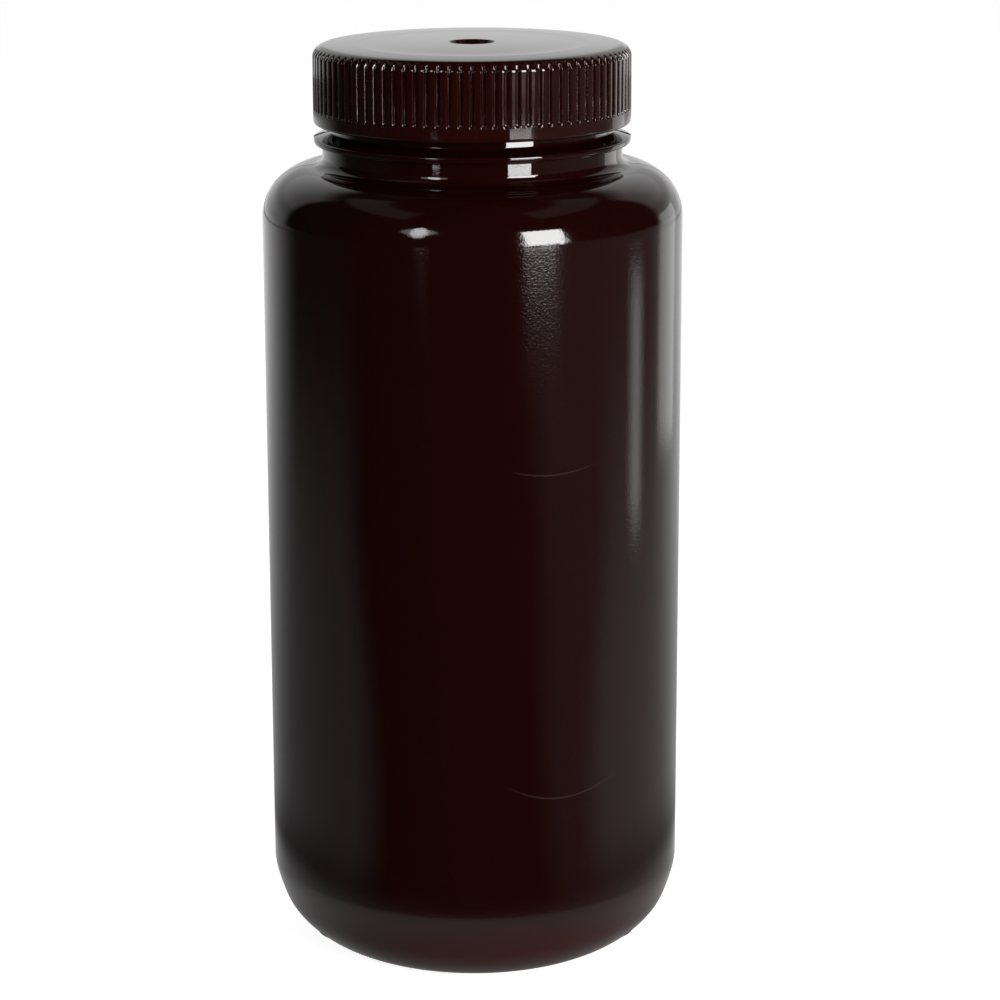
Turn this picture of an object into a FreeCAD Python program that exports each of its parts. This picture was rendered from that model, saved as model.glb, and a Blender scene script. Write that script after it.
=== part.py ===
import FreeCAD, Part
import math
import os

import Sketcher
from FreeCAD import Vector

# Wide-mouth laboratory bottle with a ribbed screw cap, in millimetres.
# The bottle is one blow-moulded piece: hollow body, base, shoulder, neck, neck ring and mouth.
# The cap is one injection-moulded piece: ribbed skirt, plain band, sunk gate and a ring that plugs
# the mouth.
# The origin is the centre of the foot, on the surface that the bottle stands on, and +Z is its axis.
# The two halves of the mould met in the XZ plane.

SIZES = (
    ("body_diameter", 91.0, "outside of the straight wall"),
    ("body_height", 163.9, "foot to where the shoulder starts to turn in"),
    ("body_wall", 1.6, "blown wall"),
    ("heel_radius", 19.1, "large rounding between wall and foot"),
    ("foot_width", 1.6, "flat ring that the bottle stands on"),
    ("base_rise", 3.2, "height of the hollow base at its centre"),
    ("base_edge_rise", 2.0, "height of the hollow base at its rim"),
    ("base_edge_width", 1.4, "slanted step from the foot to that rim"),
    ("shoulder_flat", 3.35, "sloping stretch between the shoulder's rounding and the neck"),
    ("shoulder_slope", 7.0, "rise of the shoulder towards the neck, degrees"),
    ("neck_diameter", 64.8, "outside of the neck under its ring"),
    ("neck_length", 4.7, "shoulder to the underside of the ring"),
    ("neck_bevel", 0.8, "blend at the foot of the neck"),
    ("neck_wall", 2.2, "wall of the neck under its ring"),
    ("ring_overhang", 1.75, "how far the neck ring stands out"),
    ("ring_edge", 1.35, "height of the ring's outer face"),
    ("ring_slope", 14.0, "fall of the ring's top face, degrees"),
    ("mouth_setback", 2.3, "outside of the neck to the root of the mouth's thread"),
    ("mouth_height", 17.2, "ring's edge to the rim"),
    ("mouth_wall", 2.6, "wall of the mouth at the root of its thread"),
    ("rim_bevel", 0.5, "bevels of the rim"),
    ("seam_width", 1.4, "seam across the base, where the mould pinched the tube"),
    ("seam_height", 0.6, "how far that seam stands out at the centre"),
    ("seat_gap", 0.1, "rim to the underside of the cap"),
    ("thread_room", 1.6, "skirt to the root of the mouth's thread"),
    ("skirt_wall", 2.5, "wall of the skirt at the rib crests"),
    ("skirt_bevel", 0.5, "lead-in and outer bevel of the lower edge"),
    ("cap_height", 16.7, "top face to lower edge"),
    ("cap_top", 2.3, "thickness of the top"),
    ("cap_corner", 2.8, "rounding of the top corner"),
    ("band_height", 3.3, "plain band under the ribs"),
    ("plug_gap", 0.2, "sealing ring inside the mouth"),
    ("plug_wall", 0.8, "wall of the sealing ring"),
    ("plug_depth", 3.0, "length of the sealing ring"),
    ("dish_border", 7.4, "flat ring between the corner and the sunk middle of the top"),
    ("dish_depth", 0.2, "how far the middle is sunk"),
    ("gate_diameter", 9.7, "round well at the gate"),
    ("gate_depth", 1.3, "depth of the well"),
    ("rib_count", 90, "grip ribs round the skirt"),
    ("groove_depth", 0.55, "groove between two ribs"),
    ("groove_width", 1.6, "groove at the rib crests"),
)

# Straight chords in place of a rounding, inside the wall and where the grooves cross the cap's corner.
HEEL_CHORD_COUNT = 3
SHOULDER_CHORD_COUNT = 2
CORNER_CHORD_COUNT = 2

ROOT_OF_HEEL = "(dims.body_diameter / 2 - dims.heel_radius)"
DOME_EDGE = f"({ROOT_OF_HEEL} - dims.foot_width - dims.base_edge_width)"
SLOPE = "dims.shoulder_slope * 1deg"
NECK = "(dims.neck_diameter / 2)"
SHOULDER_RIM = f"({NECK} + dims.shoulder_flat)"
SHOULDER_ARC = f"((dims.body_diameter / 2 - {SHOULDER_RIM}) / (1 - sin({SLOPE})))"
SHOULDER_TOP = f"(dims.body_height + {SHOULDER_ARC} * cos({SLOPE}))"
NECK_FOOT = f"({SHOULDER_TOP} + dims.shoulder_flat * tan({SLOPE}))"
RING = f"({NECK} + dims.ring_overhang)"
RING_LOW = f"({NECK_FOOT} + dims.neck_length)"
RING_HIGH = f"({RING_LOW} + dims.ring_edge)"
MOUTH = f"({NECK} - dims.mouth_setback)"
MOUTH_FOOT = f"({RING_HIGH} + ({RING} - {MOUTH}) * tan(dims.ring_slope * 1deg))"
BORE = f"({MOUTH} - dims.mouth_wall)"
RIM = f"({RING_HIGH} + dims.mouth_height)"
CEILING = f"({RIM} + dims.seat_gap)"
CAP_TOP = f"({CEILING} + dims.cap_top)"
CAP_FOOT = f"({CAP_TOP} - dims.cap_height)"
BAND_TOP = f"({CAP_FOOT} + dims.band_height)"
SKIRT_INSIDE = f"({MOUTH} + dims.thread_room)"
CAP = f"({SKIRT_INSIDE} + dims.skirt_wall)"
DISH = f"({CAP} - dims.cap_corner - dims.dish_border)"
PLUG = f"({BORE} - dims.plug_gap)"

doc = FreeCAD.newDocument("wide_mouth_bottle")


def make_sheet():
    """Spreadsheet of the driving sizes, each cell with an alias and a plain description beside it."""
    sheet = doc.addObject("Spreadsheet::Sheet", "dims")
    for row, (name, value, meaning) in enumerate(SIZES, start=1):
        sheet.set(f"A{row}", str(value))
        sheet.setAlias(f"A{row}", name)
        sheet.set(f"B{row}", meaning)
    doc.recompute()


def origin_part(body, role):
    """One of the body's own origin planes or axes, such as XZ_Plane."""
    for feature in body.Origin.OriginFeatures:
        if feature.Role == role:
            return feature
    raise RuntimeError(f"{body.Name} has no {role}")


def new_sketch(body, name, role, lift=None):
    """Sketch on an origin plane, moved along the plane's normal by the expression in lift."""
    sketch = body.newObject("Sketcher::SketchObject", name)
    sketch.AttachmentSupport = (origin_part(body, role), [""])
    sketch.MapMode = "FlatFace"
    if lift:
        sketch.setExpression("AttachmentOffset.Base.z", lift)
    doc.recompute()
    return sketch


def number(sketch, expression):
    """Value of an expression, as a plain number."""
    value = sketch.evalExpression(expression)
    return float(getattr(value, "Value", value))


def arc_between(start, end, radius):
    """The shorter arc that runs anticlockwise from start to end."""
    half = (end - start) * 0.5
    across = Vector(-half.y, half.x, 0).normalize()
    centre = start + half + across * math.sqrt(max(radius ** 2 - half.Length ** 2, 0))
    from_angle = math.atan2(start.y - centre.y, start.x - centre.x)
    to_angle = math.atan2(end.y - centre.y, end.x - centre.x)
    return Part.ArcOfCircle(Part.Circle(centre, Vector(0, 0, 1), radius), from_angle, to_angle)


def pin_point(sketch, edge, end, across, up):
    """Holds one end of an edge at the place that two expressions give."""
    for expression, axis, kind in ((across, -2, "DistanceX"), (up, -1, "DistanceY")):
        if expression == "0":
            sketch.addConstraint(Sketcher.Constraint("PointOnObject", edge, end, axis))
            continue
        value = number(sketch, expression)
        index = sketch.addConstraint(Sketcher.Constraint(kind, -1, 1, edge, end, value))
        sketch.setExpression(f"Constraints[{index}]", expression)


def draw(sketch, steps):
    """Draws a closed outline. A step is (across, up), or (across, up, radius) for an anticlockwise arc
    that ends there, all of them expressions."""
    points = [Vector(number(sketch, step[0]), number(sketch, step[1]), 0) for step in steps]
    edges = []
    for index, step in enumerate(steps):
        start, end = points[index - 1], points[index]
        if len(step) == 2:
            edge = sketch.addGeometry(Part.LineSegment(start, end), False)
        else:
            radius = number(sketch, step[2])
            edge = sketch.addGeometry(arc_between(start, end, radius), False)
            held = sketch.addConstraint(Sketcher.Constraint("Radius", edge, radius))
            sketch.setExpression(f"Constraints[{held}]", step[2])
        pin_point(sketch, edge, 2, step[0], step[1])
        edges.append(edge)
    for index, edge in enumerate(edges):
        sketch.addConstraint(Sketcher.Constraint("Coincident", edges[index - 1], 2, edge, 1))
    doc.recompute()


def chords(across, up, radius, start, stop, count):
    """Steps along a rounding about (across, up), as straight chords between two angles."""
    angles = [f"({start} + ({stop} - {start}) * {index} / {count})" for index in range(count + 1)]
    return tuple(
        (f"{across} + {radius} * cos({angle})", f"{up} + {radius} * sin({angle})") for angle in angles
    )


def revolve(body, name, sketch, cut=False):
    """Turns a sketch about the bottle's axis, adding material or cutting it."""
    feature = body.newObject("PartDesign::Groove" if cut else "PartDesign::Revolution", name)
    feature.Profile = sketch
    feature.ReferenceAxis = (sketch, ["V_Axis"])
    feature.Angle = 360
    sketch.Visibility = False
    doc.recompute()


def outer_form():
    """Half section of the outside, from the centre of the base round to the rim."""
    return (
        ("0", "dims.base_rise"),
        (DOME_EDGE, "dims.base_edge_rise"),
        (f"{ROOT_OF_HEEL} - dims.foot_width", "0"),
        (ROOT_OF_HEEL, "0"),
        ("dims.body_diameter / 2", "dims.heel_radius", "dims.heel_radius"),
        ("dims.body_diameter / 2", "dims.body_height"),
        (SHOULDER_RIM, SHOULDER_TOP, SHOULDER_ARC),
        (f"{NECK} + dims.neck_bevel", f"{NECK_FOOT} - dims.neck_bevel * tan({SLOPE})"),
        (NECK, f"{NECK_FOOT} + dims.neck_bevel"),
        (NECK, RING_LOW),
        (RING, RING_LOW),
        (RING, RING_HIGH),
        (MOUTH, MOUTH_FOOT),
        (MOUTH, f"{RIM} - dims.rim_bevel"),
        (f"{MOUTH} - dims.rim_bevel", RIM),
        ("0", RIM),
    )


def inner_form():
    """Half section of the hollow, from the floor up and out through the mouth. Nobody sees its floor and
    roundings, so they are flat and in straight chords, which leaves the wall a little thicker there."""
    wall = "dims.body_wall"
    neck = f"({NECK} - dims.neck_wall)"
    shoulder_root = f"(dims.body_diameter / 2 - {SHOULDER_ARC})"
    shoulder_arc = f"({SHOULDER_ARC} - {wall})"
    shoulder_end = f"(90deg - {SLOPE})"
    heel_arc = f"(dims.heel_radius - {wall})"
    return (
        ("0", f"dims.base_rise + {wall}"),
        (DOME_EDGE, f"dims.base_rise + {wall}"),
        *chords(ROOT_OF_HEEL, "dims.heel_radius", heel_arc, "-90deg", "0deg", HEEL_CHORD_COUNT),
        *chords(shoulder_root, "dims.body_height", shoulder_arc, "0deg", shoulder_end, SHOULDER_CHORD_COUNT),
        (neck, f"{NECK_FOOT} - {wall}"),
        (neck, RING_LOW),
        (BORE, f"{RING_LOW} + {neck} - {BORE}"),
        (BORE, f"{RIM} - dims.rim_bevel"),
        (f"{BORE} + dims.rim_bevel", RIM),
        ("0", RIM),
    )


def seam_form():
    """Seam across the base, seen from the front: highest at the centre and sunk in at both ends."""
    reach = f"({DOME_EDGE} - dims.seam_width)"
    end = "dims.base_edge_rise + dims.seam_height / 2"
    return (
        (f"-{reach}", end),
        ("0", "dims.base_rise - dims.seam_height"),
        (reach, end),
        ("0", "dims.base_rise + dims.body_wall / 2"),
    )


def make_bottle():
    """Blow-moulded bottle: turned outside and hollow, with the pinched seam across its base."""
    body = doc.addObject("PartDesign::Body", "bottle")
    body.Label = "bottle"
    outside = new_sketch(body, "outside_section", "XZ_Plane")
    draw(outside, outer_form())
    revolve(body, "outside", outside)
    hollow = new_sketch(body, "hollow_section", "XZ_Plane")
    draw(hollow, inner_form())
    revolve(body, "hollow", hollow, cut=True)
    across_base = new_sketch(body, "seam_section", "XZ_Plane")
    draw(across_base, seam_form())
    seam = body.newObject("PartDesign::Pad", "seam")
    seam.Profile = across_base
    seam.SideType = "Symmetric"
    seam.setExpression("Length", "dims.seam_width")
    doc.recompute()
    return body


def cap_form():
    """Half section of the cap, round its top, skirt, inside and sealing ring."""
    corner = "dims.cap_corner"
    bevel = "dims.skirt_bevel"
    return (
        ("0", f"{CAP_TOP} - dims.dish_depth"),
        (DISH, f"{CAP_TOP} - dims.dish_depth"),
        (DISH, CAP_TOP),
        *chords(f"{CAP} - {corner}", f"{CAP_TOP} - {corner}", corner, "90deg", "0deg", CORNER_CHORD_COUNT),
        (CAP, f"{CAP_FOOT} + {bevel}"),
        (f"{CAP} - {bevel}", CAP_FOOT),
        (f"{SKIRT_INSIDE} + {bevel}", CAP_FOOT),
        (SKIRT_INSIDE, f"{CAP_FOOT} + {bevel}"),
        (SKIRT_INSIDE, CEILING),
        (PLUG, CEILING),
        (PLUG, f"{CEILING} - dims.plug_depth"),
        (f"{PLUG} - dims.plug_wall", f"{CEILING} - dims.plug_depth"),
        (f"{PLUG} - dims.plug_wall", CEILING),
        ("0", CEILING),
    )


def groove_form():
    """Groove between two ribs, seen from above: a V that is groove_width wide at the rib crests."""
    outside = f"{CAP} + dims.groove_depth"
    return (
        ("0", f"{CAP} - dims.groove_depth"),
        ("dims.groove_width", outside),
        ("-dims.groove_width", outside),
    )


def cut_gate_well(body):
    """Round well in the middle of the top, where the plastic entered the mould."""
    well = new_sketch(body, "gate_well_circle", "XY_Plane", CAP_TOP)
    radius = number(well, "dims.gate_diameter / 2")
    circle = well.addGeometry(Part.Circle(Vector(0, 0, 0), Vector(0, 0, 1), radius), False)
    well.addConstraint(Sketcher.Constraint("Coincident", circle, 3, -1, 1))
    size = well.addConstraint(Sketcher.Constraint("Diameter", circle, 2 * radius))
    well.setExpression(f"Constraints[{size}]", "dims.gate_diameter")
    pocket = body.newObject("PartDesign::Pocket", "gate_well")
    pocket.Profile = well
    pocket.setExpression("Length", "dims.gate_depth")
    doc.recompute()


def cut_grooves(body):
    """One groove from the band up and out through the corner, repeated so that ribs stay between."""
    section = new_sketch(body, "groove_section", "XY_Plane", BAND_TOP)
    draw(section, groove_form())
    groove = body.newObject("PartDesign::Pocket", "groove")
    groove.Profile = section
    groove.Type = "ThroughAll"
    groove.Reversed = True
    doc.recompute()
    grooves = body.newObject("PartDesign::PolarPattern", "grooves")
    grooves.Originals = [groove]
    grooves.Axis = (origin_part(body, "Z_Axis"), [""])
    grooves.Angle = 360
    grooves.setExpression("Occurrences", "dims.rib_count")
    body.Tip = grooves
    doc.recompute()


def make_screw_cap():
    """Injection-moulded cap: turned section, a well at the gate and grooves that leave the grip ribs."""
    body = doc.addObject("PartDesign::Body", "screw_cap")
    body.Label = "screw_cap"
    section = new_sketch(body, "cap_section", "XZ_Plane")
    draw(section, cap_form())
    revolve(body, "cap_shell", section)
    cut_gate_well(body)
    cut_grooves(body)
    return body


make_sheet()
bottle = make_bottle()
screw_cap = make_screw_cap()

for part in doc.Objects:
    if any(state in ("Invalid", "Error") for state in part.State):
        raise RuntimeError(f"{part.Name} did not build: {part.State}")

os.makedirs("parts", exist_ok=True)
for part in (bottle, screw_cap):
    if part.Shape.isNull() or not part.Shape.isValid() or len(part.Shape.Solids) != 1:
        raise RuntimeError(f"{part.Label} is not one valid solid")
    part.Shape.exportStep(f"parts/{part.Label}.step")
    print(part.Label, round(part.Shape.Volume), "cubic millimetres")
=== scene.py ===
"""Looks of a dark amber wide-mouth laboratory bottle with a ribbed screw cap.

The bottle and its cap are turned from half sections. Sizes of the part are in millimetres, and
place() turns them into the metres of the frame. Sizes of the studio are in metres.
"""

import math

import bpy
from mathutils import Matrix, Vector


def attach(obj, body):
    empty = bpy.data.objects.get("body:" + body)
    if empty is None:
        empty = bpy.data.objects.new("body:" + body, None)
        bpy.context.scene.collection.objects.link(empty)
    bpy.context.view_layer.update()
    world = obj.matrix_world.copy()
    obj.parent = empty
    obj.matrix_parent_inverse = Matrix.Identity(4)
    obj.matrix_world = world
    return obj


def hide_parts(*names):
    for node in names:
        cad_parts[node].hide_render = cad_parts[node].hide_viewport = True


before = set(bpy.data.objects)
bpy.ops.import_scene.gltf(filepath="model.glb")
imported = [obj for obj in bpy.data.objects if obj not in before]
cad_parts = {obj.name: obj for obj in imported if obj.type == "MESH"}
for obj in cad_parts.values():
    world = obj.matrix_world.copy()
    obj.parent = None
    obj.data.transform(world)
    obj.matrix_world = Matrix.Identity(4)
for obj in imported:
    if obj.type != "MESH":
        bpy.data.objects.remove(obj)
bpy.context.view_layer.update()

MM = 0.001
AXIS = (0, 0, 1)
FULL_TURN = 2 * math.pi
WELD_GAP = 0.002

# Sizes of the part, as in its solids. Only the plain band is 0.3 lower, since the grooves run
# out above it. Slopes are in degrees.
BODY_RADIUS = 45.5
WALL = 1.6
HEEL_RADIUS = 19.1
HEEL_ROOT = BODY_RADIUS - HEEL_RADIUS
SHOULDER_START = 163.9
SHOULDER_SLOPE = 7
SHOULDER_FLAT = 3.35
NECK_RADIUS = 32.4
NECK_LENGTH = 4.7
SHOULDER_RIM = NECK_RADIUS + SHOULDER_FLAT
SHOULDER_ARC = (BODY_RADIUS - SHOULDER_RIM) / (1 - math.sin(math.radians(SHOULDER_SLOPE)))
SHOULDER_TOP = SHOULDER_START + SHOULDER_ARC * math.cos(math.radians(SHOULDER_SLOPE))
NECK_FOOT = SHOULDER_TOP + SHOULDER_FLAT * math.tan(math.radians(SHOULDER_SLOPE))
RING_RADIUS = 34.15
RING_EDGE = 1.35
RING_SLOPE = 14
RING_LOW = NECK_FOOT + NECK_LENGTH
RING_HIGH = RING_LOW + RING_EDGE
MOUTH_RADIUS = 30.1
MOUTH_HEIGHT = 17.2
MOUTH_FOOT = RING_HIGH + (RING_RADIUS - MOUTH_RADIUS) * math.tan(math.radians(RING_SLOPE))
BORE_RADIUS = 27.5
RIM = RING_HIGH + MOUTH_HEIGHT
SEAT_GAP = 0.1
CAP_RADIUS = 34.2
CAP_CORNER = 2.8
CAP_THICKNESS = 2.3
CAP_HEIGHT = 16.7
BAND_HEIGHT = 3.0
CAP_CEILING = RIM + SEAT_GAP
CAP_TOP = CAP_CEILING + CAP_THICKNESS
CAP_FOOT = CAP_TOP - CAP_HEIGHT
BAND_TOP = CAP_FOOT + BAND_HEIGHT
SKIRT_INSIDE = 31.7
RIB_COUNT = 90

# The camera fitted to the photograph: metres, radians, and the lens and its sensor in millimetres.
CAMERA_DISTANCE = 0.69042
CAMERA_HEIGHT = 0.27849
CAMERA_PITCH = 0.25296
CAMERA_ROLL = -0.00415
CAMERA_LENS = 115.692
CAMERA_SENSOR = 36
CAMERA_SHIFT = 0.02626


# Modelling by hand


def place(radius, height, angle=0.0):
    """Point of the part at a radius and height in millimetres and an angle about the axis."""
    return Vector((radius * math.cos(angle), radius * math.sin(angle), height)) * MM


def on_arc(radius, height, size, angle):
    """Point of a section on an arc about (radius, height), at an angle in degrees."""
    turned = math.radians(angle)
    return (radius + size * math.cos(turned), height + size * math.sin(turned))


def rounding(radius, height, size, start, stop, steps):
    """Points of a section along an arc about (radius, height), from one angle to another."""
    angles = [start + (stop - start) * i / steps for i in range(steps + 1)]
    return [on_arc(radius, height, size, angle) for angle in angles]


def straight(start, stop, steps):
    """Points of a section between two of its points, without the ends."""
    return [
        tuple(a + (b - a) * i / steps for a, b in zip(start, stop))
        for i in range(1, steps)
    ]


def drawn_section(name, section):
    """A plane merged to one vertex and extruded along a half section in the XZ plane."""
    bpy.ops.object.select_all(action="DESELECT")
    bpy.ops.mesh.primitive_plane_add(size=4 * MM, location=place(*section[0]))
    piece = bpy.context.active_object
    piece.name = name
    bpy.ops.object.transform_apply(location=True, rotation=False, scale=False)
    bpy.ops.object.mode_set(mode="EDIT")
    bpy.ops.mesh.select_mode(type="VERT")
    bpy.ops.mesh.select_all(action="SELECT")
    bpy.ops.mesh.merge(type="CENTER")
    for here, there in zip(section, section[1:]):
        step = place(*there) - place(*here)
        bpy.ops.mesh.extrude_region_move(TRANSFORM_OT_translate={"value": step})
    bpy.ops.mesh.select_all(action="SELECT")
    return piece


def turn(angle, steps):
    """Spins what is selected about the bottle's axis, clockwise as seen from above."""
    bpy.ops.mesh.spin(steps=steps, angle=angle, center=(0, 0, 0), axis=AXIS)


def select_where(piece, wanted):
    """Selects only the vertices whose place in millimetres passes a test."""
    bpy.ops.mesh.select_all(action="DESELECT")
    bpy.ops.object.mode_set(mode="OBJECT")
    for vertex in piece.data.vertices:
        vertex.select = bool(wanted(vertex.co / MM))
    bpy.ops.object.mode_set(mode="EDIT")


def make_active(piece):
    """Selects a piece alone and makes it the active one."""
    bpy.ops.object.select_all(action="DESELECT")
    piece.select_set(True)
    bpy.context.view_layer.objects.active = piece


def close_shell(piece, sharp):
    """Merges the doubles, turns the faces outwards and shades all smooth but sharp edges."""
    bpy.ops.object.mode_set(mode="EDIT")
    bpy.ops.mesh.select_all(action="SELECT")
    bpy.ops.mesh.remove_doubles(threshold=WELD_GAP * MM)
    bpy.ops.mesh.normals_make_consistent(inside=False)
    bpy.ops.object.mode_set(mode="OBJECT")
    make_active(piece)
    bpy.ops.object.shade_smooth_by_angle(angle=math.radians(sharp))


def finish_piece(piece, body, material):
    """Gives a piece its material and the body that it rides on."""
    piece.data.materials.clear()
    piece.data.materials.append(material)
    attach(piece, body)


# Shader nodes


def srgb(code):
    """Linear colour of an sRGB hex code."""
    values = [int(code[i:i + 2], 16) / 255 for i in (1, 3, 5)]
    linear = [v / 12.92 if v <= 0.04045 else ((v + 0.055) / 1.055) ** 2.4 for v in values]
    return (*linear, 1.0)


def add(tree, kind, links=None, **settings):
    """Adds a node. Settings name its sockets or properties, and links the sockets' sources."""
    node = tree.nodes.new(kind)
    for name, value in settings.items():
        socket = node.inputs.get(name.replace("_", " "))
        if hasattr(node, name):
            setattr(node, name, value)
        elif socket is not None:
            socket.default_value = value
        else:
            raise KeyError(f"{kind} has no {name}")
    for target, source in (links or {}).items():
        tree.links.new(source, node.inputs[target])
    return node


def ramp(tree, value, start, stop, low, high, interpolation="SMOOTHSTEP"):
    """Step of a value from one level to another, smooth unless it is asked for as linear."""
    node = add(
        tree, "ShaderNodeMapRange", {"Value": value}, interpolation_type=interpolation,
        **{"From_Min": start, "From_Max": stop, "To_Min": low, "To_Max": high},
    )
    return node.outputs[0]


def calc(tree, operation, first, *others):
    """An operation on one value, or down a row of them. Each is a socket or a number."""
    for other in others or (0.0,):
        node = add(tree, "ShaderNodeMath", operation=operation)
        for socket, value in zip(node.inputs, (first, other)):
            if isinstance(value, (int, float)):
                socket.default_value = value
            else:
                tree.links.new(value, socket)
        first = node.outputs[0]
    return first


def blend(tree, share, first, second):
    """Mix of two colours, each of them a socket or an sRGB hex code."""
    node = add(tree, "ShaderNodeMix", {0: share}, data_type="RGBA")
    for index, colour in ((6, first), (7, second)):
        if isinstance(colour, str):
            node.inputs[index].default_value = srgb(colour)
        else:
            tree.links.new(colour, node.inputs[index])
    return node.outputs[2]


def new_material(name):
    """An empty node material and its tree."""
    material = bpy.data.materials.new(name)
    material.use_nodes = True
    material.node_tree.nodes.clear()
    return material, material.node_tree


# Materials

PLASTIC_IOR = 1.5

# Middle, lowest point, half length and bend of each scratch, in metres and per metre.
UPPER_SCRATCH = (0.0165, 0.1162, 0.0105, 18.0)
LOWER_SCRATCH = (0.0189, 0.0450, 0.0145, 24.0)
SCRATCH_CORE = 0.00006
SCRATCH_RIM = 0.00024


def scratch(tree, where, middle, low, half, bend):
    """A hair-thin sagging scratch on the body's front: 1 on it and 0 beside it."""
    split = add(tree, "ShaderNodeSeparateXYZ", {"Vector": where})
    along = calc(tree, "SUBTRACT", split.outputs["X"], middle)
    path = calc(tree, "ADD", calc(tree, "MULTIPLY", along, along, bend), low)
    off = calc(tree, "ABSOLUTE", calc(tree, "SUBTRACT", split.outputs["Z"], path))
    line = ramp(tree, off, SCRATCH_CORE, SCRATCH_RIM, 1.0, 0.0)
    ends = ramp(tree, calc(tree, "ABSOLUTE", along), half * 0.3, half, 1.0, 0.0)
    in_front = calc(tree, "LESS_THAN", split.outputs["Y"], 0.0)
    return calc(tree, "MULTIPLY", line, ends, in_front)


def blow_moulded_polyethylene():
    """High-density polyethylene, blown, dark amber all through.

    To the eye: orange peel that frays the highlights on the body, a glossier neck and mouth, a
    painted glow through the wall at the foot, lighter and redder there, and two faint scratches.
    """
    material, tree = new_material("blow_moulded_hdpe")
    where = add(tree, "ShaderNodeTexCoord").outputs["Object"]
    height = add(tree, "ShaderNodeSeparateXYZ", {"Vector": where}).outputs["Z"]
    grain = add(
        tree, "ShaderNodeTexNoise", {"Vector": where}, Scale=2200.0, Detail=2.0, Roughness=0.5,
    )
    peel = ramp(tree, height, 0.1655, 0.169, 1.0, 0.08, "LINEAR")
    bump = add(
        tree, "ShaderNodeBump", {"Height": grain.outputs["Fac"], "Strength": peel},
        Distance=0.000018,
    )
    rough = ramp(tree, height, 0.164, 0.172, 0.075, 0.035, "LINEAR")
    upper_scratch = scratch(tree, where, *UPPER_SCRATCH)
    lower_scratch = scratch(tree, where, *LOWER_SCRATCH)
    worn = calc(tree, "MAXIMUM", upper_scratch, lower_scratch)
    # Painted glow: the colour turns lighter and redder towards the foot, for light through the
    # wall.
    thin = ramp(tree, height, 0.004, 0.022, 1.0, 0.0)
    amber = blend(tree, thin, "#160302", "#2b0704")
    scratches_and_foot_glow = blend(tree, calc(tree, "MULTIPLY", worn, 0.10), amber, "#685a5a")
    shader = add(
        tree, "ShaderNodeBsdfPrincipled",
        {"Normal": bump.outputs[0], "Roughness": rough, "Base Color": scratches_and_foot_glow}, IOR=PLASTIC_IOR,
    )
    add(tree, "ShaderNodeOutputMaterial", {"Surface": shader.outputs[0]})
    return material


def moulded_polypropylene():
    """Polypropylene, injection moulded: the same amber, with an even gloss from its mould."""
    material, tree = new_material("injection_moulded_pp")
    where = add(tree, "ShaderNodeTexCoord").outputs["Object"]
    grain = add(
        tree, "ShaderNodeTexNoise", {"Vector": where}, Scale=900.0, Detail=2.0, Roughness=0.5,
    )
    bump = add(
        tree, "ShaderNodeBump", {"Height": grain.outputs["Fac"]}, Strength=0.05, Distance=0.00002,
    )
    shader = add(
        tree, "ShaderNodeBsdfPrincipled", {"Normal": bump.outputs[0]},
        Base_Color=srgb("#1c0503"), IOR=PLASTIC_IOR, Roughness=0.055,
    )
    add(tree, "ShaderNodeOutputMaterial", {"Surface": shader.outputs[0]})
    return material


def heel_shadow_polyethylene():
    """The same polyethylene, matt so that it looks almost black: painted shadow at the heel."""
    material, tree = new_material("heel_shadow_hdpe")
    shader = add(
        tree, "ShaderNodeBsdfPrincipled", Base_Color=srgb("#190c0a"), IOR=PLASTIC_IOR,
        Roughness=0.7, Specular_IOR_Level=0.12,
    )
    add(tree, "ShaderNodeOutputMaterial", {"Surface": shader.outputs[0]})
    return material


# The bottle

# The hollow base, the floor over it, and the flat ring that the bottle stands on.
BASE_RISE = 3.2
BASE_SAG = 1.2
BASE_STEP = 1.4
BASE_STEPS = 14
FLOOR_EDGE = 23.4
FLOOR_SAG = 0.4
FOOT_WIDTH = 1.6
FOOT_EDGE = 0.35
FOOT_FLAT = 1.3

# The real heel is a little flatter than its arc from the wall to TRIM_END degrees down, and
# the real shoulder is a little fuller.
HEEL_STEPS = 44
HEEL_TRIM = 0.28
TRIM_END = 36
SHOULDER_STEPS = 30
SHOULDER_SWELL = 0.12

# Rounding where the shoulder meets the neck, nearly tangent to both.
FILLET_RADIUS = 2.35
FILLET_OUT = 2.319
FILLET_UP = 2.083

# Wall of the neck, and the rounding of the rim.
NECK_WALL = 2.2
RIM_EDGE = 0.5

# Distance of a loop from a rounding, so that the straight wall beside it is shaded flat.
SUPPORT = 0.3

# The parting line of the mould: half its width, its lift, and its lift on the neck ring.
LINE_HALF = 0.18
LINE_LIFT = (1.0004, 1, 1.0004)
RING_LIFT = (1.002, 1, 1.0045)
RING_LIFT_CENTRE = RING_LOW - 30
HALF_TURN_STEPS = 128


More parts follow.
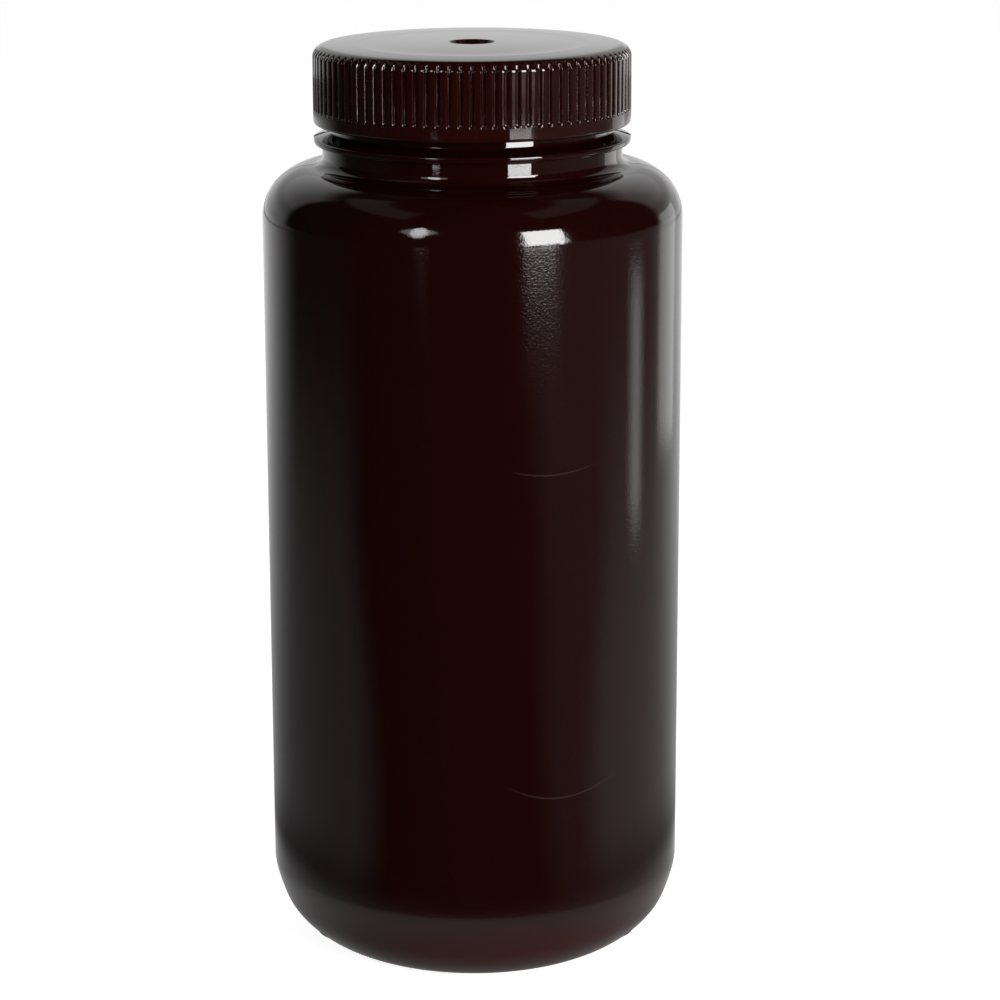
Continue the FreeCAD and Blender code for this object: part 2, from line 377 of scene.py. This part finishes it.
def bottle_outside():
    """Half section of the outside, from the centre of the base to the rim."""
    dome_edge = HEEL_ROOT - FOOT_WIDTH - BASE_STEP
    points = [
        (dome_edge * i / BASE_STEPS, BASE_RISE - BASE_SAG * (i / BASE_STEPS) ** 2)
        for i in range(BASE_STEPS)
    ]
    points += rounding(dome_edge - 0.5, 1.35, 0.7, 70, 10, 4)
    points += rounding(HEEL_ROOT - FOOT_FLAT, FOOT_EDGE, FOOT_EDGE, 190, 270, 4)
    points += [(HEEL_ROOT, 0)]
    for step in range(1, HEEL_STEPS + 1):
        low = 90 - 90 * step / HEEL_STEPS
        trim = HEEL_TRIM * math.sin(math.pi * min(low, TRIM_END) / TRIM_END) ** 2
        points.append(on_arc(HEEL_ROOT, HEEL_RADIUS, HEEL_RADIUS - trim, -low))
    wall_low = (BODY_RADIUS, HEEL_RADIUS + SUPPORT)
    wall_high = (BODY_RADIUS, SHOULDER_START - SUPPORT)
    points += [wall_low] + straight(wall_low, wall_high, 26) + [wall_high]
    for step in range(SHOULDER_STEPS + 1):
        turned = (90 - SHOULDER_SLOPE) * step / SHOULDER_STEPS
        size = SHOULDER_ARC + SHOULDER_SWELL * math.sin(math.radians(turned))
        points.append(on_arc(BODY_RADIUS - SHOULDER_ARC, SHOULDER_START, size, turned))
    points += rounding(
        NECK_RADIUS + FILLET_OUT, NECK_FOOT + FILLET_UP, FILLET_RADIUS,
        270 - SHOULDER_SLOPE, 192, 10,
    )
    for height in (NECK_FOOT + 1.66, NECK_FOOT + 1.8, RING_LOW - 0.5, RING_LOW - 0.3):
        points.append((NECK_RADIUS, height))
    points += rounding(NECK_RADIUS + 0.3, RING_LOW - 0.3, 0.3, 180, 90, 3)[1:]
    points += rounding(RING_RADIUS - 0.4, RING_LOW + 0.4, 0.4, -90, 0, 5)
    points += rounding(RING_RADIUS - 0.45, RING_HIGH - 0.45, 0.45, 0, 90 - RING_SLOPE, 5)
    points += [(MOUTH_RADIUS + 2.2, RING_HIGH + 0.49)]
    points += rounding(MOUTH_RADIUS + 0.6, MOUTH_FOOT + 0.48, 0.6, 270 - RING_SLOPE, 180, 5)
    points += straight((MOUTH_RADIUS, MOUTH_FOOT + 0.5), (MOUTH_RADIUS, RIM - RIM_EDGE), 5)
    points += rounding(MOUTH_RADIUS - RIM_EDGE, RIM - RIM_EDGE, RIM_EDGE, 0, 90, 5)
    return points


def bottle_inside():
    """Half section of the hollow, from the rim down to the centre of the floor."""
    neck = NECK_RADIUS - NECK_WALL
    ledge = RING_LOW + 3.2
    points = rounding(BORE_RADIUS + RIM_EDGE, RIM - RIM_EDGE, RIM_EDGE, 90, 180, 5)
    points += straight((BORE_RADIUS, RIM - RIM_EDGE), (BORE_RADIUS, ledge), 4)
    points += rounding(BORE_RADIUS - 1.5, ledge, 1.5, 0, -45, 3)
    points += rounding(neck, RING_LOW - 0.6, 1.0, 135, 180, 3)
    points += [(neck, NECK_FOOT + 1.5), (neck, NECK_FOOT - WALL + 0.9)]
    points += [(neck + 0.3, NECK_FOOT - WALL + 0.3), (neck + 1.0, NECK_FOOT - WALL)]
    points += rounding(
        BODY_RADIUS - SHOULDER_ARC, SHOULDER_START, SHOULDER_ARC - WALL, 90 - SHOULDER_SLOPE, 0, 14,
    )
    inside = BODY_RADIUS - WALL
    points += straight((inside, SHOULDER_START), (inside, HEEL_RADIUS), 14)
    points += rounding(HEEL_ROOT, HEEL_RADIUS, HEEL_RADIUS - WALL, 0, -84, 16)
    for radius in (FLOOR_EDGE, 17.0, 9.0, 0.0):
        points.append((radius, BASE_RISE + WALL - FLOOR_SAG * (radius / FLOOR_EDGE) ** 2))
    return points


def make_bottle(material):
    """Blown bottle with its parting line, turned as one closed shell."""
    piece = drawn_section("bottle_shell", bottle_outside() + bottle_inside())
    line = LINE_HALF / BODY_RADIUS
    bpy.ops.transform.rotate(value=-line, orient_axis="Z", center_override=(0, 0, 0))
    for _ in range(2):
        turn(2 * line, 2)
        turn(math.pi - 2 * line, HALF_TURN_STEPS)
    bpy.ops.mesh.select_all(action="SELECT")
    bpy.ops.mesh.remove_doubles(threshold=WELD_GAP * MM)
    raise_parting_line(piece)
    close_shell(piece, 40)
    finish_piece(piece, "bottle", material)
    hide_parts("bottle")


def raise_parting_line(piece):
    """Lifts the middle of the narrow columns at both sides a little, and more on the ring."""
    skin = {
        (round(radius, 2), round(height, 2))
        for radius, height in bottle_outside() if height > 2
    }

    def on_line(point):
        return abs(point.y) < 0.01 and (round(abs(point.x), 2), round(point.z, 2)) in skin

    def on_ring(point):
        beyond = point.z > RING_LOW - 0.1 and abs(point.x) > MOUTH_RADIUS + 0.7
        return beyond and on_line(point)

    select_where(piece, on_ring)
    bpy.ops.transform.resize(value=RING_LIFT, center_override=place(0, RING_LIFT_CENTRE))
    select_where(piece, on_line)
    bpy.ops.transform.resize(value=LINE_LIFT, center_override=place(0, SHOULDER_START / 2))


# The cap

# The upper corner's arc ends CORNER_BREAK degrees before the skirt, in a faint break.
CORNER_BREAK = 14
CORNER_CENTRE = CAP_RADIUS - CAP_CORNER * math.cos(math.radians(CORNER_BREAK))
CORNER_LOW = CAP_TOP - CAP_CORNER * (1 - math.sin(math.radians(CORNER_BREAK)))

# The top rises towards the gate by CROWN, and its dish has a fine step near the edge.
CROWN = 0.4
CROWN_RADII = (5.3, 9, 14, 19, 23.6, 24.2, 24.8, 25.4, 28)
STEP_HEIGHT = 0.03
STEP_WIDTH = 1.2
STEP_RADIUS = 24.8

# Depth of the well at the gate, and the rounding of the lower edge.
GATE_SINK = 0.85
HEM = 0.6

# The ring that plugs the mouth: radii, and heights from the ceiling.
PLUG_RING = (
    (27.5, 0), (27.3, -0.2), (27.3, -2.4), (27.1, -3.0), (26.7, -3.0),
    (26.5, -2.4), (26.5, -0.3), (26.2, 0),
)

# Vertex columns from the middle of a groove (1) to the middle of a rib (0), as shares of the way.
RIB_SHARES = (1.0, 0.86, 0.79, 0.72, 0.64, 0.56, 0.52, 0.48, 0.24, 0.0)
RIB_EDGE = 0.50
RIB_BOW = 0.03
GROOVE_EDGE = 0.84
GROOVE_DEPTH = 0.55

# The grooves have their full depth from GROOVE_HIGH above the band up, and run out over
# GROOVE_RUN_OUT below that. At the corner they run out between these shares of a quarter turn.
GROOVE_HIGH = 0.55
GROOVE_RUN_OUT = 0.45
CORNER_RUN_OUT = (0.30, 0.64)


def cap_outside():
    """Half section of the cap's outside at a rib's crest, from the top's middle to the hem."""
    gate = CAP_TOP - GATE_SINK
    crown = CAP_TOP + CROWN
    points = [(0, gate), (3.2, gate), (3.9, gate + 0.04), (4.1, gate + 0.15)]
    points += [(4.75, crown - 0.25), (4.85, crown - 0.12), (5.0, crown - 0.04)]
    for radius in CROWN_RADII:
        step = STEP_HEIGHT * min(max((STEP_RADIUS - radius) / STEP_WIDTH, 0), 1)
        points.append((radius, CAP_TOP + CROWN * (1 - (radius / CORNER_CENTRE) ** 2) - step))
    points += rounding(CORNER_CENTRE, CAP_TOP - CAP_CORNER, CAP_CORNER, 90, CORNER_BREAK, 11)
    points.append((CAP_RADIUS, points[-1][1] - 0.15))
    for above in (0.7, GROOVE_HIGH, 0.4, 0.25, 0, -0.15):
        points.append((CAP_RADIUS, BAND_TOP + above))
    points.append((CAP_RADIUS, CAP_FOOT + HEM + 0.15))
    points += rounding(CAP_RADIUS - HEM, CAP_FOOT + HEM, HEM, 0, -90, 5)
    return points


def cap_inside():
    """Half section of the cap's inside, from the hem up, round the plug ring, to the middle."""
    points = rounding(SKIRT_INSIDE + 0.5, CAP_FOOT + 0.5, 0.5, -90, -180, 3)
    points += straight((SKIRT_INSIDE, CAP_FOOT + 0.5), (SKIRT_INSIDE, CAP_CEILING - 0.8), 2)
    points += rounding(SKIRT_INSIDE - 0.8, CAP_CEILING - 0.8, 0.8, 0, 90, 3)
    points += [(radius, CAP_CEILING + height) for radius, height in PLUG_RING]
    points += [(0, CAP_CEILING)]
    return points


def smooth(value, start, stop):
    """Smooth step from 0 to 1 between two values."""
    share = min(max((value - start) / (stop - start), 0), 1)
    return share * share * (3 - 2 * share)


def groove_depth(share):
    """Depth below the rib's crest: none at its middle (0), the most mid-groove (1)."""
    bow = RIB_BOW * min(share / RIB_EDGE, 1) ** 2
    return bow + GROOVE_DEPTH * smooth(share, RIB_EDGE, GROOVE_EDGE)


def rib_shift(point):
    """How far a place on the cap's skin moves in, in millimetres, to leave ribs and grooves."""
    radius = math.hypot(point.x, point.y)
    full_from = BAND_TOP + GROOVE_HIGH
    if point.z < full_from - GROOVE_RUN_OUT or radius < CORNER_CENTRE + 0.01:
        return Vector()
    around = math.atan2(point.y, point.x)
    slant = 0.0
    reach = 1.0
    if point.z < full_from:
        reach = math.sqrt(1 - ((full_from - point.z) / GROOVE_RUN_OUT) ** 2)
    elif point.z > CORNER_LOW - 0.01:
        slant = math.atan2(point.z - CAP_TOP + CAP_CORNER, radius - CORNER_CENTRE)
        reach = 1 - smooth(slant / (math.pi / 2), *CORNER_RUN_OUT)
    share = abs((around + math.pi / 2) * RIB_COUNT / FULL_TURN % 1.0 - 0.5) * 2
    depth = -groove_depth(round(share, 3)) * reach
    level = Vector((math.cos(around), math.sin(around), 0)) * math.cos(slant)
    return (level + Vector((0, 0, math.sin(slant)))) * depth


def rounded(vector):
    """A vector as a tuple that can be compared."""
    return tuple(round(value, 3) for value in vector)


def make_cap(material):
    """Cap turned as one sector from groove to groove, its rib shaped, copied round the axis."""
    piece = drawn_section("ribbed_cap", cap_outside() + cap_inside())
    sector = FULL_TURN / RIB_COUNT
    bpy.ops.transform.rotate(value=math.pi / 2, orient_axis="Z", center_override=(0, 0, 0))
    shares = RIB_SHARES + RIB_SHARES[-2::-1]
    for here, there in zip(shares, shares[1:]):
        turn(abs(here - there) * sector / 2, 1)
    bpy.ops.object.mode_set(mode="OBJECT")
    groups = {}
    for vertex in piece.data.vertices:
        point = vertex.co / MM
        if math.hypot(point.x, point.y) < SKIRT_INSIDE + 0.6 and point.z < CAP_TOP - 0.6:
            continue
        shift = rib_shift(point)
        if shift.length > 0.001:
            groups.setdefault(rounded(shift), set()).add(rounded(point))
    bpy.ops.object.mode_set(mode="EDIT")
    for shift, points in groups.items():
        select_where(piece, lambda point: rounded(point) in points)
        bpy.ops.transform.translate(value=Vector(shift) * MM)
    bpy.ops.mesh.select_all(action="SELECT")
    bpy.ops.mesh.spin(
        steps=RIB_COUNT - 1, dupli=True, angle=FULL_TURN - sector, center=(0, 0, 0), axis=AXIS,
    )
    close_shell(piece, 40)
    finish_piece(piece, "screw_cap", material)
    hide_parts("screw_cap")


# The threads

THREAD_PITCH = 4.23
THREAD_TURNS = 1.5
THREAD_STEPS = 150
THREAD_WIDTH = 2.4
CREST_SHARE = 0.4
MOUTH_THREAD_LOW = 188.2
MOUTH_THREAD_CREST = 31.25
CAP_THREAD_LOW = MOUTH_THREAD_LOW - 2.1
CAP_THREAD_CREST = 30.4

# How deep a thread's root lies in the wall, and how its ends sink over the last steps.
ROOT_SINK = 0.05
END_SINK = 0.15
RUN_OUT = 9
RUN_OUT_POWER = 1.6


def make_thread(name, root, crest, low, body, material):
    """Thread with sloping flanks: a section drawn out along the helix, its ends in the wall."""
    bpy.ops.object.select_all(action="DESELECT")
    middle = (root + crest) / 2
    bpy.ops.mesh.primitive_plane_add(
        size=MM, location=place(middle, low), rotation=(math.pi / 2, 0, 0),
    )
    piece = bpy.context.active_object
    piece.name = name
    bpy.ops.object.transform_apply(location=True, rotation=True, scale=True)
    bpy.ops.object.mode_set(mode="EDIT")
    bpy.ops.mesh.select_all(action="SELECT")
    bpy.ops.transform.resize(
        value=(abs(crest - root), 1, THREAD_WIDTH), center_override=place(middle, low),
    )
    select_where(piece, lambda point: abs(point.x - crest) < 0.1)
    bpy.ops.transform.resize(value=(1, 1, CREST_SHARE), center_override=place(crest, low))
    bpy.ops.mesh.select_all(action="SELECT")
    bpy.ops.mesh.delete(type="ONLY_FACE")
    bpy.ops.object.mode_set(mode="OBJECT")
    helix = piece.modifiers.new("helix", "SCREW")
    helix.axis = "Z"
    helix.angle = FULL_TURN * THREAD_TURNS
    helix.screw_offset = THREAD_PITCH * THREAD_TURNS * MM
    helix.steps = helix.render_steps = THREAD_STEPS
    helix.use_merge_vertices = False
    make_active(piece)
    bpy.ops.object.modifier_apply(modifier=helix.name)
    sink = root - crest - math.copysign(END_SINK, crest - root)
    bpy.ops.object.mode_set(mode="EDIT")
    for step in range(THREAD_STEPS + 1):
        end = min(step, THREAD_STEPS - step)
        if end >= RUN_OUT:
            continue
        around = FULL_TURN * THREAD_TURNS * step / THREAD_STEPS
        height = low + THREAD_PITCH * THREAD_TURNS * step / THREAD_STEPS
        ring = place(middle, height, around) / MM
        select_where(piece, lambda point: thread_ring(point, ring))
        sunk = sink * (1 - end / RUN_OUT) ** RUN_OUT_POWER
        bpy.ops.transform.translate(value=place(sunk, 0, around))
        if end == 0:
            bpy.ops.mesh.edge_face_add()
    close_shell(piece, 50)
    finish_piece(piece, body, material)


def thread_ring(point, centre):
    """Whether a place belongs to the thread's section round a centre."""
    away = point - centre
    outwards = Vector((centre.x, centre.y, 0)).normalized()
    return abs(away.z) < 1.3 and away.length < 2 and abs(away.cross(outwards).z) < 0.5


# Marks of the mould, and painted shadow at the heel

SEAM_REACH = 21.0
SEAM_RADIUS = 0.7
SEAM_HEIGHT = 2.4
DOME_RADIUS = 229.0

# A heel shadow, a dark lens of painted shadow: its degrees below the middle of the heel's arc,
# degrees in front of the side, depth of its middle under the heel, and half sizes along the
# outline, across it and outwards.
HEEL_SHADOW_LOW = 48
HEEL_SHADOW_FRONT = 30
HEEL_SHADOW_DEPTH = 0.65
HEEL_SHADOW_HALVES = (3.35, 2.0, 0.8)


def make_base_seam(material):
    """Bead across the base where the mould pinched the soft tube shut, bent to follow it."""
    bpy.ops.object.select_all(action="DESELECT")
    bpy.ops.mesh.primitive_circle_add(
        vertices=12, radius=SEAM_RADIUS * MM, fill_type="NGON",
        location=(-SEAM_REACH * MM, 0, SEAM_HEIGHT * MM), rotation=(0, math.pi / 2, 0),
    )
    piece = bpy.context.active_object
    piece.name = "pinched_seam"
    bpy.ops.object.transform_apply(location=True, rotation=True, scale=True)
    bpy.ops.object.mode_set(mode="EDIT")
    bpy.ops.mesh.select_all(action="SELECT")
    bend = 2 * math.asin(SEAM_REACH / DOME_RADIUS)
    bpy.ops.mesh.spin(
        steps=36, angle=-bend, center=(0, 0, (SEAM_HEIGHT - DOME_RADIUS) * MM), axis=(0, 1, 0),
    )
    close_shell(piece, 60)
    finish_piece(piece, "bottle", material)


def make_heel_shadow(name, side, material):
    """Small flat dark lens: painted shadow where the ground shadow shows on the heel's outline."""
    low = math.radians(HEEL_SHADOW_LOW)
    around = math.radians(-90 + side * (90 - HEEL_SHADOW_FRONT))
    level = math.cos(low)
    out = Vector((level * math.cos(around), level * math.sin(around), -math.sin(low)))
    seat = place(HEEL_ROOT, HEEL_RADIUS, around) + out * ((HEEL_RADIUS - HEEL_SHADOW_DEPTH) * MM)
    camera = Vector((0, -CAMERA_DISTANCE, CAMERA_HEIGHT))
    across = out.cross(camera - seat).normalized()
    along = across.cross(out)
    bpy.ops.object.select_all(action="DESELECT")
    bpy.ops.mesh.primitive_uv_sphere_add(
        segments=40, ring_count=24, radius=1, location=seat,
        rotation=Matrix((along, across, out)).transposed().to_euler(),
        scale=[half * MM for half in HEEL_SHADOW_HALVES],
    )
    piece = bpy.context.active_object
    piece.name = name
    bpy.ops.object.transform_apply(location=True, rotation=True, scale=True)
    close_shell(piece, 60)
    finish_piece(piece, "bottle", material)


# The studio

# What the dark parts of the room still send back.
ROOM_LEVEL = 0.015

# Name, azimuth in degrees, distance, width, lower and upper edge, radiance and shape. Azimuth 0
# is the camera's side and 90 the right. The lamps named hem, edge and foot are low strips that
# draw thin lines under the reflections of the softboxes.
LAMPS = (
    ("right_softbox", 38.5, 1.15, 0.46, 0.11, 0.72, 20, "RECTANGLE"),
    ("right_softbox_hem", 36, 1.15, 0.40, 0.050, 0.062, 1.3, "RECTANGLE"),
    ("right_softbox_edge", 34.3, 1.15, 0.31, 0.022, 0.031, 7, "RECTANGLE"),
    ("right_softbox_foot", 35.5, 1.15, 0.36, 0.001, 0.014, 17, "RECTANGLE"),
    ("left_softbox", -30, 1.17, 0.20, 0.46, 0.98, 6.5, "ELLIPSE"),
    ("left_softbox_glow", -30, 1.18, 0.44, 0.58, 0.90, 1.5, "ELLIPSE"),
    ("left_softbox_foot", -27, 1.17, 0.11, 0.009, 0.012, 13, "RECTANGLE"),
    ("right_card", 95.5, 0.41, 0.03, 0.0, 0.085, 0.8, "RECTANGLE"),
    ("right_card_edge", 95.5, 0.42, 0.08, 0.0, 0.085, 0.85, "RECTANGLE"),
    ("back_card", 129, 0.47, 0.18, 0.01, 0.22, 0.85, "RECTANGLE"),
)


def set_camera():
    """Camera of the photograph: a long lens a little above the bottle, looking down."""
    data = bpy.data.cameras.new("photo_camera")
    data.sensor_width = CAMERA_SENSOR
    data.lens = CAMERA_LENS
    data.shift_x = CAMERA_SHIFT
    data.clip_start = 0.01
    camera = bpy.data.objects.new("photo_camera", data)
    bpy.context.collection.objects.link(camera)
    seat = Matrix.Translation((0, -CAMERA_DISTANCE, CAMERA_HEIGHT))
    tilt = Matrix.Rotation(math.pi / 2 - CAMERA_PITCH, 4, "X")
    roll = Matrix.Rotation(CAMERA_ROLL, 4, "Z")
    camera.matrix_world = seat @ tilt @ roll
    bpy.context.scene.camera = camera


def upright_lamp(name, azimuth, distance, width, low, high, radiance, shape):
    """Upright area lamp that faces the bottle's axis and that the camera doesn't see."""
    angle = math.radians(azimuth)
    outwards = Vector((math.sin(angle), -math.cos(angle), 0))
    data = bpy.data.lights.new(name, "AREA")
    data.shape = shape
    data.size = width
    data.size_y = high - low
    data.energy = radiance * math.pi * width * (high - low)
    lamp = bpy.data.objects.new(name, data)
    lamp.location = outwards * distance + Vector((0, 0, (low + high) / 2))
    lamp.rotation_euler = outwards.to_track_quat("Z", "Y").to_euler()
    lamp.visible_camera = False
    bpy.context.collection.objects.link(lamp)


def set_world():
    """Plain white for the camera. In gloss, a pale backdrop behind and a dark room in front."""
    world = bpy.data.worlds.new("studio")
    bpy.context.scene.world = world
    world.use_nodes = True
    tree = world.node_tree
    tree.nodes.clear()
    where = add(tree, "ShaderNodeTexCoord").outputs["Generated"]
    split = add(tree, "ShaderNodeSeparateXYZ", {"Vector": where})
    across, up = split.outputs["X"], split.outputs["Z"]
    level = calc(tree, "SQRT", calc(tree, "SUBTRACT", 1.0001, calc(tree, "MULTIPLY", up, up)))
    back = calc(tree, "DIVIDE", split.outputs["Y"], level)
    side = calc(tree, "DIVIDE", calc(tree, "ABSOLUTE", across), level)

    # Backdrop: brightest straight behind, a little brighter on the right, ending above, and
    # with a fold between its lower and its upper part.
    lower_part = ramp(tree, up, 0.10, 0.20, 0.92, 0.64)
    upper_part = ramp(tree, up, 0.20, 0.30, 0.0, 0.80)
    backdrop = calc(
        tree, "MULTIPLY",
        ramp(tree, back, 0.48, 0.60, 0.0, 1.0),
        ramp(tree, back, 0.55, 1.0, 0.45, 0.9),
        ramp(tree, up, 0.60, 0.76, 1.0, 0.0),
        ramp(tree, across, -0.2, 0.3, 1.0, 1.1),
        calc(tree, "MAXIMUM", lower_part, upper_part),
    )

    # Faint patches high up on the left and the right.
    above = calc(
        tree, "MULTIPLY",
        ramp(tree, up, 0.74, 0.79, 0.0, 0.14),
        ramp(tree, up, 0.88, 0.93, 1.0, 0.0),
        ramp(tree, side, 0.70, 0.80, 0.0, 1.0),
    )
    gloss = calc(tree, "ADD", backdrop, above, ROOM_LEVEL)
    seen = add(tree, "ShaderNodeLightPath")
    strength = calc(tree, "MAXIMUM", gloss, seen.outputs["Is Camera Ray"])
    shader = add(tree, "ShaderNodeBackground", {"Strength": strength}, Color=(1, 1, 1, 1))
    add(tree, "ShaderNodeOutputWorld", {"Surface": shader.outputs[0]})


def floor_in_gloss(tree):
    """What the floor sends back to the bottle's gloss, by the place on it."""
    where = add(tree, "ShaderNodeTexCoord").outputs["Object"]
    split = add(tree, "ShaderNodeSeparateXYZ", {"Vector": where})
    across, back = split.outputs["X"], split.outputs["Y"]
    far = add(tree, "ShaderNodeVectorMath", {0: where}, operation="LENGTH").outputs["Value"]
    away = calc(tree, "ADD", far, 0.001)
    turned = calc(tree, "DIVIDE", back, away)
    beside = calc(tree, "DIVIDE", across, away)

    # Pale floor round the bottle, darker far off and towards the camera, and painted shade close to
    # it.
    shift = calc(
        tree, "ADD",
        ramp(tree, far, 0.10, 0.45, 0.24, 0.0),
        ramp(tree, across, -0.02, 0.10, 0.0, -0.12),
    )
    near = calc(
        tree, "MULTIPLY",
        ramp(tree, far, 0.22, 0.85, 0.20, 0.02),
        ramp(tree, across, -0.1, 0.1, 1.0, 1.25),
        ramp(tree, calc(tree, "ADD", turned, shift), -0.55, -0.23, 0.0, 1.0),
        ramp(tree, far, 0.085, 0.14, 0.25, 1.0),
    )

    # Light that gathers round the foot.
    foot = calc(
        tree, "MULTIPLY",
        ramp(tree, far, 0.075, 0.10, 0.37, 0.0),
        ramp(tree, far, 0.042, 0.062, 0.5, 1.0),
    )

    # Bright table behind the bottle, with a darker strip where it ends.
    table_end = calc(
        tree, "MAXIMUM",
        ramp(tree, far, 1.36, 1.42, 1.0, 0.0),
        ramp(tree, far, 1.56, 1.62, 0.0, 1.0),
        ramp(tree, across, -0.2, 0.2, 0.25, 0.5),
    )
    behind = calc(
        tree, "MULTIPLY",
        ramp(tree, turned, 0.30, 0.95, 0.0, 1.0),
        ramp(tree, far, 0.10, 0.90, 0.16, 0.95),
        table_end,
    )

    # Faint light on the right, and the pool under the right softbox, which grows towards it.
    right = calc(
        tree, "MULTIPLY",
        ramp(tree, beside, 0.45, 0.72, 0.0, 0.11),
        ramp(tree, far, 0.02, 0.20, 0.3, 1.0),
    )
    spill = calc(
        tree, "MULTIPLY",
        calc(tree, "POWER", calc(tree, "DIVIDE", far, 0.86), 8.0),
        0.3,
        ramp(tree, beside, 0.42, 0.52, 0.0, 1.0),
        ramp(tree, beside, 0.68, 0.78, 1.0, 0.0),
        ramp(tree, turned, -0.30, -0.20, 1.0, 0.0),
        ramp(tree, far, 0.86, 0.94, 0.42, 1.0),
    )
    spill = calc(
        tree, "MULTIPLY",
        calc(tree, "MINIMUM", spill, 2.0),
        ramp(tree, far, 1.02, 1.14, 1.0, 0.0),
    )
    return calc(tree, "ADD", near, foot, behind, right, spill, ROOM_LEVEL)


def set_floor():
    """Plain pale floor: white for the camera but for the bottle's soft shadow; painted glow too."""
    bpy.ops.object.select_all(action="DESELECT")
    bpy.ops.mesh.primitive_plane_add(size=8)
    floor = bpy.context.active_object
    floor.name = "studio_floor"
    material, tree = new_material("pale_floor")
    seen = add(tree, "ShaderNodeLightPath")
    mirrored = add(tree, "ShaderNodeEmission", {"Strength": floor_in_gloss(tree)})
    # Painted glow: the floor shines for diffuse rays as well and so lights the bottle from below.
    white = calc(
        tree, "ADD",
        calc(tree, "MULTIPLY", seen.outputs["Is Camera Ray"], 0.88),
        calc(tree, "MULTIPLY", seen.outputs["Is Diffuse Ray"], 0.6),
    )
    glow = add(tree, "ShaderNodeEmission", {"Strength": white})
    matt = add(tree, "ShaderNodeBsdfDiffuse", Color=(0.75, 0.75, 0.75, 1))
    lit = add(tree, "ShaderNodeAddShader", {0: glow.outputs[0], 1: matt.outputs[0]})
    both = add(
        tree, "ShaderNodeMixShader",
        {0: seen.outputs["Is Glossy Ray"], 1: lit.outputs[0], 2: mirrored.outputs[0]},
    )
    add(tree, "ShaderNodeOutputMaterial", {"Surface": both.outputs[0]})
    floor.data.materials.append(material)


def set_lamps():
    """Tall softbox front right, oval one front left, and pale cards right and behind."""
    for lamp in LAMPS:
        upright_lamp(*lamp)


bpy.context.scene.view_settings.view_transform = "Standard"
bpy.ops.object.select_all(action="DESELECT")
polyethylene = blow_moulded_polyethylene()
polypropylene = moulded_polypropylene()
make_bottle(polyethylene)
make_cap(polypropylene)
make_thread(
    "mouth_thread", MOUTH_RADIUS - ROOT_SINK, MOUTH_THREAD_CREST, MOUTH_THREAD_LOW,
    "bottle", polyethylene,
)
make_thread(
    "cap_thread", SKIRT_INSIDE + ROOT_SINK, CAP_THREAD_CREST, CAP_THREAD_LOW,
    "screw_cap", polypropylene,
)
make_base_seam(polyethylene)
# Painted shadow: two dark lenses at the heel's outline, where the ground shadow shows.
heel_shadow_material = heel_shadow_polyethylene()
for side, name in ((-1, "heel_shadow_left"), (1, "heel_shadow_right")):
    make_heel_shadow(name, side, heel_shadow_material)
set_camera()
set_world()
set_floor()
set_lamps()
